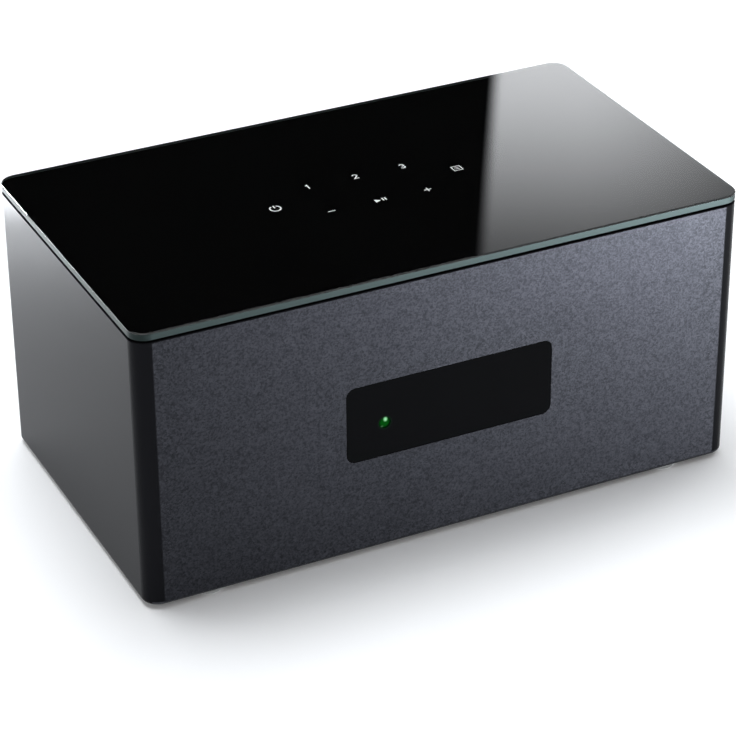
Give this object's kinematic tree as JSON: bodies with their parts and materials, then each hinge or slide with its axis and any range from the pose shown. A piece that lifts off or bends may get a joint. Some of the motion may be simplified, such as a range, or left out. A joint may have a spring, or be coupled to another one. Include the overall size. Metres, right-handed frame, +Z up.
{
  "type": "home theater amplifier",
  "caption": "Compact tabletop multichannel amplifier: dark metal case, flush glass top, front display window, rear speaker terminals and sockets.",
  "frame": {"origin": "middle of the footprint of the whole object, on the surface that its feet stand on", "axes": "+Z up, -Y towards the front with the display window, +X to the right seen from the front"},
  "size_m": [0.3, 0.188, 0.14],
  "materials": {
    "case_paint": "dark anthracite paint, fine metallic speckle on the front",
    "black_steel": "matt black powder coat",
    "top_glass": "polished, ground edge, black print underneath",
    "gasket_foam": "matt",
    "black_plastic": "moulded satin",
    "lens_plastic": "polished black",
    "green_light": "clear rod lit green",
    "foot_silicone": "translucent silicone",
    "screw_steel": "zinc plated",
    "black_screw": "black oxide",
    "plated_brass": "gold plated",
    "plated_steel": "nickel plated sheet",
    "tongue_plastic": "moulded",
    "shutter_plastic": "moulded",
    "switch_plastic": "moulded gloss",
    "button_plastic": "moulded satin",
    "knob_black": "moulded gloss",
    "knob_red": "moulded gloss",
    "board_green": "solder mask",
    "board_black": "solder mask",
    "display_glass": "polished",
    "chip_black": "moulded",
    "bare_aluminium": "extruded",
    "ferrite": "sintered",
    "capacitor_sleeve": "shrink sleeve",
    "coil_copper": "shielded drum",
    "bracket_steel": "zinc plated sheet",
    "lead_sheath": "cable sheath"
  },
  "bodies": {
    "case": {"shell": "case_paint", "base_plate": "black_steel", "rear_panel": "black_steel", "top_tray": "black_plastic", "glass_gasket": "gasket_foam", "glass_top": "top_glass", "touch_board": "board_black", "feet": "foot_silicone", "countersunk_screws": "screw_steel", "pan_screws": "black_screw", "display_lens": "lens_plastic", "status_light": "green_light", "display_board": "board_green", "display_module": "display_glass", "mains_inlet": "black_plastic", "mains_contacts": "plated_brass", "rocker_frame": "black_plastic", "terminal_plate": "black_plastic", "post_studs": "plated_brass", "post_nuts": "plated_brass", "terminal_board": "board_green", "hdmi_sockets": "plated_steel", "usb_socket": "plated_steel", "socket_tongues": "tongue_plastic", "optical_socket": "black_plastic", "rca_block": "black_plastic", "rca_barrels": "plated_brass", "power_board": "board_green", "amp_board": "board_green", "main_board": "board_green", "board_components": "chip_black", "heatsink": "bare_aluminium", "transformer": "ferrite", "capacitors": "capacitor_sleeve", "output_coils": "coil_copper", "board_brackets": "bracket_steel", "internal_leads": "lead_sheath"},
    "mains_rocker": {"rocker_cap": "switch_plastic"},
    "pair_push": {"pair_button": "button_plastic"},
    "light_flap": {"optical_shutter": "shutter_plastic"},
    "washer_1": {"clamp_washer_1": "plated_brass"},
    "knob_1": {"post_knob_1": "knob_black"},
    "washer_2": {"clamp_washer_2": "plated_brass"},
    "knob_2": {"post_knob_2": "knob_red"},
    "washer_3": {"clamp_washer_3": "plated_brass"},
    "knob_3": {"post_knob_3": "knob_black"},
    "washer_4": {"clamp_washer_4": "plated_brass"},
    "knob_4": {"post_knob_4": "knob_red"},
    "washer_5": {"clamp_washer_5": "plated_brass"},
    "knob_5": {"post_knob_5": "knob_black"},
    "washer_6": {"clamp_washer_6": "plated_brass"},
    "knob_6": {"post_knob_6": "knob_red"},
    "washer_7": {"clamp_washer_7": "plated_brass"},
    "knob_7": {"post_knob_7": "knob_black"},
    "washer_8": {"clamp_washer_8": "plated_brass"},
    "knob_8": {"post_knob_8": "knob_red"},
    "washer_9": {"clamp_washer_9": "plated_brass"},
    "knob_9": {"post_knob_9": "knob_black"},
    "washer_10": {"clamp_washer_10": "plated_brass"},
    "knob_10": {"post_knob_10": "knob_red"}
  },
  "joints": [
    {"name": "mains_rocker_tilt", "type": "hinge", "parent": "case", "child": "mains_rocker", "pos_m": [-0.112, 0.0745, 0.075], "axis": [1, 0, 0], "range_deg": [-24, 0]},
    {"name": "pair_button_press", "type": "slide", "parent": "case", "child": "pair_push", "axis": [0, -1, 0], "range_m": [0, 0.0012], "stiffness_N_per_m": 300, "springref_m": -0.001},
    {"name": "optical_shutter_swing", "type": "hinge", "parent": "case", "child": "light_flap", "pos_m": [0.038, 0.0735, 0.10015], "axis": [-1, 0, 0], "range_deg": [0, 85], "stiffness_Nm_per_rad": 0.00005, "springref_deg": -28.65},
    {"name": "washer_1_slide", "type": "slide", "parent": "case", "child": "washer_1", "axis": [0, 1, 0], "range_m": [0, 0.005]},
    {"name": "knob_1_turn", "type": "hinge", "parent": "washer_1", "child": "knob_1", "pos_m": [-0.0715, 0.077, 0.038], "axis": [0, 1, 0], "range_deg": [0, 1800]},
    {"name": "washer_2_slide", "type": "slide", "parent": "case", "child": "washer_2", "axis": [0, 1, 0], "range_m": [0, 0.005]},
    {"name": "knob_2_turn", "type": "hinge", "parent": "washer_2", "child": "knob_2", "pos_m": [-0.0525, 0.077, 0.038], "axis": [0, 1, 0], "range_deg": [0, 1800]},
    {"name": "washer_3_slide", "type": "slide", "parent": "case", "child": "washer_3", "axis": [0, 1, 0], "range_m": [0, 0.005]},
    {"name": "knob_3_turn", "type": "hinge", "parent": "washer_3", "child": "knob_3", "pos_m": [-0.0315, 0.077, 0.038], "axis": [0, 1, 0], "range_deg": [0, 1800]},
    {"name": "washer_4_slide", "type": "slide", "parent": "case", "child": "washer_4", "axis": [0, 1, 0], "range_m": [0, 0.005]},
    {"name": "knob_4_turn", "type": "hinge", "parent": "washer_4", "child": "knob_4", "pos_m": [-0.0125, 0.077, 0.038], "axis": [0, 1, 0], "range_deg": [0, 1800]},
    {"name": "washer_5_slide", "type": "slide", "parent": "case", "child": "washer_5", "axis": [0, 1, 0], "range_m": [0, 0.005]},
    {"name": "knob_5_turn", "type": "hinge", "parent": "washer_5", "child": "knob_5", "pos_m": [0.0085, 0.077, 0.038], "axis": [0, 1, 0], "range_deg": [0, 1800]},
    {"name": "washer_6_slide", "type": "slide", "parent": "case", "child": "washer_6", "axis": [0, 1, 0], "range_m": [0, 0.005]},
    {"name": "knob_6_turn", "type": "hinge", "parent": "washer_6", "child": "knob_6", "pos_m": [0.0275, 0.077, 0.038], "axis": [0, 1, 0], "range_deg": [0, 1800]},
    {"name": "washer_7_slide", "type": "slide", "parent": "case", "child": "washer_7", "axis": [0, 1, 0], "range_m": [0, 0.005]},
    {"name": "knob_7_turn", "type": "hinge", "parent": "washer_7", "child": "knob_7", "pos_m": [0.0485, 0.077, 0.038], "axis": [0, 1, 0], "range_deg": [0, 1800]},
    {"name": "washer_8_slide", "type": "slide", "parent": "case", "child": "washer_8", "axis": [0, 1, 0], "range_m": [0, 0.005]},
    {"name": "knob_8_turn", "type": "hinge", "parent": "washer_8", "child": "knob_8", "pos_m": [0.0675, 0.077, 0.038], "axis": [0, 1, 0], "range_deg": [0, 1800]},
    {"name": "washer_9_slide", "type": "slide", "parent": "case", "child": "washer_9", "axis": [0, 1, 0], "range_m": [0, 0.005]},
    {"name": "knob_9_turn", "type": "hinge", "parent": "washer_9", "child": "knob_9", "pos_m": [0.0885, 0.077, 0.038], "axis": [0, 1, 0], "range_deg": [0, 1800]},
    {"name": "washer_10_slide", "type": "slide", "parent": "case", "child": "washer_10", "axis": [0, 1, 0], "range_m": [0, 0.005]},
    {"name": "knob_10_turn", "type": "hinge", "parent": "washer_10", "child": "knob_10", "pos_m": [0.1075, 0.077, 0.038], "axis": [0, 1, 0], "range_deg": [0, 1800]}
  ],
  "couplings": [
    {"joint": "knob_1_turn", "follows": "washer_1_slide", "rad_per_m": 6283.2},
    {"joint": "knob_2_turn", "follows": "washer_2_slide", "rad_per_m": 6283.2},
    {"joint": "knob_3_turn", "follows": "washer_3_slide", "rad_per_m": 6283.2},
    {"joint": "knob_4_turn", "follows": "washer_4_slide", "rad_per_m": 6283.2},
    {"joint": "knob_5_turn", "follows": "washer_5_slide", "rad_per_m": 6283.2},
    {"joint": "knob_6_turn", "follows": "washer_6_slide", "rad_per_m": 6283.2},
    {"joint": "knob_7_turn", "follows": "washer_7_slide", "rad_per_m": 6283.2},
    {"joint": "knob_8_turn", "follows": "washer_8_slide", "rad_per_m": 6283.2},
    {"joint": "knob_9_turn", "follows": "washer_9_slide", "rad_per_m": 6283.2},
    {"joint": "knob_10_turn", "follows": "washer_10_slide", "rad_per_m": 6283.2}
  ]
}
